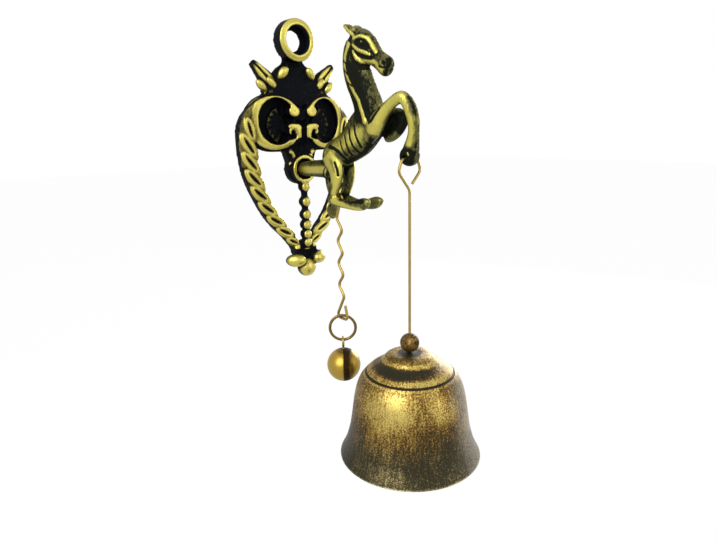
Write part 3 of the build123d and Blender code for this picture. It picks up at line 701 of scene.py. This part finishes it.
for width, _, line in scroll_cuts:
    wear = wear - (wear - cut_wear) * line_share(plate_flat, line, width) * (reach > cut_reach)
write_wear(plate, wear)

# %% [markdown]
# ## Sculpting the horse
# Each stroke follows a line on the horse's side, written as (reach, height) in millimetres. It can raise or
# cut the skin, and it can rub the metal bright or leave it black; a few strokes lay painted light instead, a
# painted glint in the eye and on the hoof and painted shade on the far foreleg. A stroke is for both sides,
# for the near side, which the camera sees, or for the far side. Lifts add up, and a later stroke's rub or
# painted light lies over an earlier one.

# %% Strokes of the horse
BOTH = "both"
NEAR = "near"
FAR = "far"
# side, width, lift, rub, line; in a few strokes the rub is painted light
strokes = [
    (BOTH, 5.4, 0.0, -0.8, [(44.5, -15.5), (47.5, -23.0), (51.5, -31.5)]),
    # painted shade: the folded far foreleg is kept dark as the side in shadow
    (FAR, 4.6, 0.0, -0.9, [(56.5, -38.0), (62.0, -35.0), (66.5, -33.5), (67.0, -38.0)]),
    (BOTH, 4.8, 0.0, 0.8, [(35.5, -42.6), (41.0, -41.4), (46.0, -40.0), (51.5, -38.0)]),
    (BOTH, 2.0, 0.0, -0.8, [(39.5, -49.6), (47.4, -47.4), (52.2, -44.4), (56.0, -41.0)]),
    (BOTH, 0.7, -0.40, -1.0, [(47.6, -35.6), (48.1, -38.6), (49.0, -41.1), (49.6, -43.2)]),
    (BOTH, 0.7, -0.40, -1.0, [(44.4, -36.9), (45.0, -40.2), (46.2, -43.2), (47.6, -45.2)]),
    (BOTH, 0.7, -0.35, -1.0, [(41.5, -39.0), (42.6, -42.4), (43.9, -46.2)]),
    (BOTH, 0.5, -0.25, -0.7, [(38.4, -40.9), (39.7, -43.9), (41.3, -46.5)]),
    (BOTH, 3.6, 0.0, 0.9, [(29.5, -47.5), (32.0, -51.0), (34.0, -56.0)]),
    (BOTH, 2.4, 0.0, 1.0, [(28.8, -45.2), (33.6, -46.6), (36.2, -48.8), (37.2, -52.2), (36.0, -57.1),
                           (34.0, -61.0), (33.4, -64.0)]),
    (BOTH, 1.0, -0.40, -1.0, [(31.0, -43.2), (34.5, -43.8), (37.5, -45.2), (39.9, -47.8), (40.2, -50.4)]),
    (BOTH, 0.7, -0.35, -0.9, [(35.1, -49.4), (36.2, -52.2), (36.3, -54.4)]),
    (BOTH, 2.0, 0.0, -0.8, [(28.0, -53.0), (30.0, -58.0), (30.2, -61.5)]),
    (NEAR, 1.7, 0.0, 0.9, [(32.6, -64.6), (37.8, -65.6), (44.2, -66.8), (49.4, -67.0)]),
    (NEAR, 1.4, 0.0, -0.8, [(37.0, -63.4), (44.0, -64.0), (51.0, -63.4)]),
    (BOTH, 2.2, -0.45, -1.0, [(48.8, -6.3), (50.9, -6.9), (52.8, -7.8)]),
    (BOTH, 1.3, 0.60, -0.3, [(50.7, -6.8), (51.3, -7.0)]),
    # painted highlight: a small glint in each eye
    (BOTH, 0.45, 0.0, 1.0, [(50.2, -6.2), (50.7, -6.3)]),
    (BOTH, 0.9, 0.40, 0.85, [(46.6, -4.8), (49.8, -4.4), (52.7, -5.4), (54.6, -7.8), (57.0, -10.6)]),
    (BOTH, 0.9, 0.35, 1.0, [(46.2, -7.2), (48.8, -9.0), (51.5, -10.0), (54.2, -11.2)]),
    (BOTH, 0.9, -0.30, -0.8, [(47.3, -9.9), (49.9, -11.1), (52.7, -11.8), (55.2, -12.3)]),
    (BOTH, 1.2, 0.35, 1.0, [(46.0, -9.4), (47.6, -11.6), (49.8, -12.9), (53.0, -13.6), (56.2, -13.8)]),
    (BOTH, 1.1, -0.40, -1.0, [(44.8, -9.6), (46.0, -12.8), (48.6, -14.9), (52.5, -15.2)]),
    (BOTH, 1.6, 0.10, 0.9, [(57.6, -14.6), (58.4, -16.6), (60.2, -17.2)]),
    (BOTH, 2.2, 0.0, -0.8, [(63.4, -13.8), (63.6, -16.6), (61.6, -18.4)]),
    (BOTH, 0.9, -0.50, -0.9, [(61.0, -14.4), (61.6, -14.8)]),
    (BOTH, 0.5, -0.30, -0.7, [(63.2, -16.2), (61.0, -16.1), (59.0, -15.6)]),
    (BOTH, 0.8, 0.25, 1.0, [(41.6, -0.5), (44.0, -2.4), (46.4, -3.9)]),
    (BOTH, 1.1, -0.40, -1.0, [(42.4, -2.8), (44.2, -5.4)]),
    (BOTH, 0.9, 0.15, 0.7, [(39.4, -7.0), (38.6, -11.0), (38.2, -14.4), (39.6, -18.4), (41.6, -22.4)]),
    (BOTH, 0.6, -0.30, -0.9, [(41.2, -6.8), (39.9, -10.4), (39.6, -14.2), (41.4, -18.6), (44.4, -22.8),
                              (47.4, -26.8)]),
    (BOTH, 1.4, 0.35, 1.0, [(43.4, -6.4), (41.4, -10.4), (40.8, -14.3), (43.0, -18.9), (46.4, -23.1),
                            (49.6, -26.6), (51.2, -30.0), (53.4, -34.0)]),
    (BOTH, 0.5, -0.25, -0.7, [(40.2, -11.6), (42.2, -13.4)]),
    (BOTH, 0.5, -0.25, -0.7, [(40.4, -15.0), (42.8, -16.8)]),
    (BOTH, 0.5, -0.25, -0.7, [(42.8, -19.8), (45.6, -21.2)]),
    (NEAR, 3.0, 0.0, 1.0, [(57.4, -37.0), (59.8, -34.8), (63.7, -31.4), (67.8, -27.9), (71.4, -26.6)]),
    (NEAR, 2.3, 0.0, 1.0, [(71.4, -27.2), (73.6, -30.2), (75.2, -34.6), (74.8, -38.5), (74.0, -42.0)]),
    (NEAR, 1.5, 0.0, -1.0, [(73.8, -24.2), (76.8, -28.6), (78.6, -33.6), (78.4, -39.0), (77.0, -43.0)]),
    (NEAR, 1.7, 0.15, 1.0, [(53.4, -33.8), (56.5, -37.2), (59.2, -37.8), (61.0, -35.6)]),
    (NEAR, 0.9, -0.40, -0.9, [(54.4, -30.6), (56.6, -34.4), (58.2, -33.8), (61.6, -29.6)]),
    (NEAR, 2.5, 0.0, 0.95, [(7.0, -53.1), (16.0, -53.0), (27.0, -52.4)]),
    (BOTH, 0.5, -0.30, -0.6, [(26.6, -51.6), (23.6, -56.0), (22.0, -61.0), (22.6, -65.6), (21.8, -69.6)]),
    (BOTH, 0.5, -0.30, -0.6, [(28.0, -53.0), (25.0, -57.0), (23.4, -61.4), (24.6, -66.0), (24.6, -69.8)]),
    (BOTH, 5.4, 0.0, -1.0, [(72.1, -46.4), (72.1, -48.0)]),
    # painted highlight: a glint on the black hoof
    (BOTH, 0.5, 0.0, 0.9, [(73.8, -45.0), (74.0, -45.6)]),
]
print("strokes:", len(strokes))

# %% Horse skin
folded_leg_web = ((0.0030, -0.0606, -0.0362), (0.0012, 0.0032, 0.0026))
horse_cell = 0.0004
horse = cast_copy("horse_bracket", "horse_casting", horse_cell, skin_smoothing, lumps=[folded_leg_web])
horse.data.materials.clear()
horse.data.materials.append(metals["horse_metal"])
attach(horse, "bracket")
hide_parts("horse_bracket")

# %% Strokes on the skin
near_side_end = 0.3
far_side_start = 0.6
points, normals, _ = read_mesh(horse.data)
flat_points = np.stack((-points[:, 1], points[:, 2]), axis=1)
outward = smooth_step(normals[:, 0] * np.sign(points[:, 0]), 0.0, 0.35)
side_masks = {
    BOTH: outward,
    NEAR: outward * (points[:, 0] < near_side_end),
    FAR: (points[:, 0] > far_side_start).astype(float),
}
rubs_and_painted_light = []
lift = np.zeros(len(points))
for side_name, width, rise, rub_and_painted_light, line in strokes:
    share = line_share(flat_points, line, width) * side_masks[side_name]
    rubs_and_painted_light.append((rub_and_painted_light, share))
    lift += rise * share
points += normals * lift[:, None]
print("lifts from", round(float(lift.min()), 2), "to", round(float(lift.max()), 2), "mm")

# %% [markdown]
# ## Hole in the hoof
# The new skin closes in on the hole that the bell's wire passes through. Every point of the skin that lies
# within 1.05 mm of the hole's axis is moved straight out to that distance, and so the skin clears the wire.
# The CAD hole's own radius is 0.95 mm, so the opening in the skin is 0.1 mm wider all round.

# %% Hole in the hoof
hoof_hole_reach = 72.1
hoof_hole_height = -46.8
opened_radius = 1.05
hoof_hole_half_length = 3.6
least_distance = 0.001
away = np.stack((points[:, 1] + hoof_hole_reach, points[:, 2] - hoof_hole_height), axis=1)
distance = np.maximum(np.hypot(away[:, 0], away[:, 1]), least_distance)
in_hole = (distance < opened_radius) & (np.abs(points[:, 0]) < hoof_hole_half_length)
points[in_hole, 1:] += away[in_hole] * (opened_radius / distance[in_hole] - 1)[:, None]
move_points(horse, points)
print("hoof hole opened at", int(in_hole.sum()), "points")

# %% [markdown]
# ## Wear of the horse
# The coat is dark; the strokes say where it was rubbed bright or left black, and lay a few painted glints
# and painted shade. A point that stands out of its surroundings is a little brighter and a hollow is darker,
# over a broad area and again close by.

# %% Wear of the horse
unrubbed_wear = 0.06
broad_gain = 0.25
cavity_gain = 2.0
rubbed_and_highlight_level = 0.95
black_level = -0.45
points, normals, edges = read_mesh(horse.data)
cavity = proudness(points, normals, edges, 8)
broad = proudness(points, normals, edges, 60)
wear = unrubbed_wear + np.clip(broad, -0.5, 0.5) * broad_gain
for rub_and_painted_light, share in rubs_and_painted_light:
    wear += ((rubbed_and_highlight_level if rub_and_painted_light > 0 else black_level) - wear) * share * abs(rub_and_painted_light)
wear += np.clip(cavity, -0.2, 0.2) * cavity_gain
# besides wear, the horse's map holds the painted glints on the eyes and the hoof and the painted shade on
# the far foreleg
write_wear(horse, wear)

# %% [markdown]
# ## Pieces that keep their CAD shape
# The wires, the bead, the ball, the bell and the screw have smooth, round shapes, so their CAD shape is fine
# enough and they only get a material.

# %% Finishes
finishes = {
    "bracket_screw": "screw_metal", "bell_wire": "wire_metal", "bell_bead": "bead_metal",
    "bell": "bell_metal", "striker_wire": "wire_metal", "striker_ring": "ring_metal",
    "striker_eye": "wire_metal", "striker_ball": "ball_metal",
}
for node_name, metal_name in finishes.items():
    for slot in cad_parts[node_name].material_slots:
        slot.material = metals[metal_name]
print("finished:", sorted(finishes))
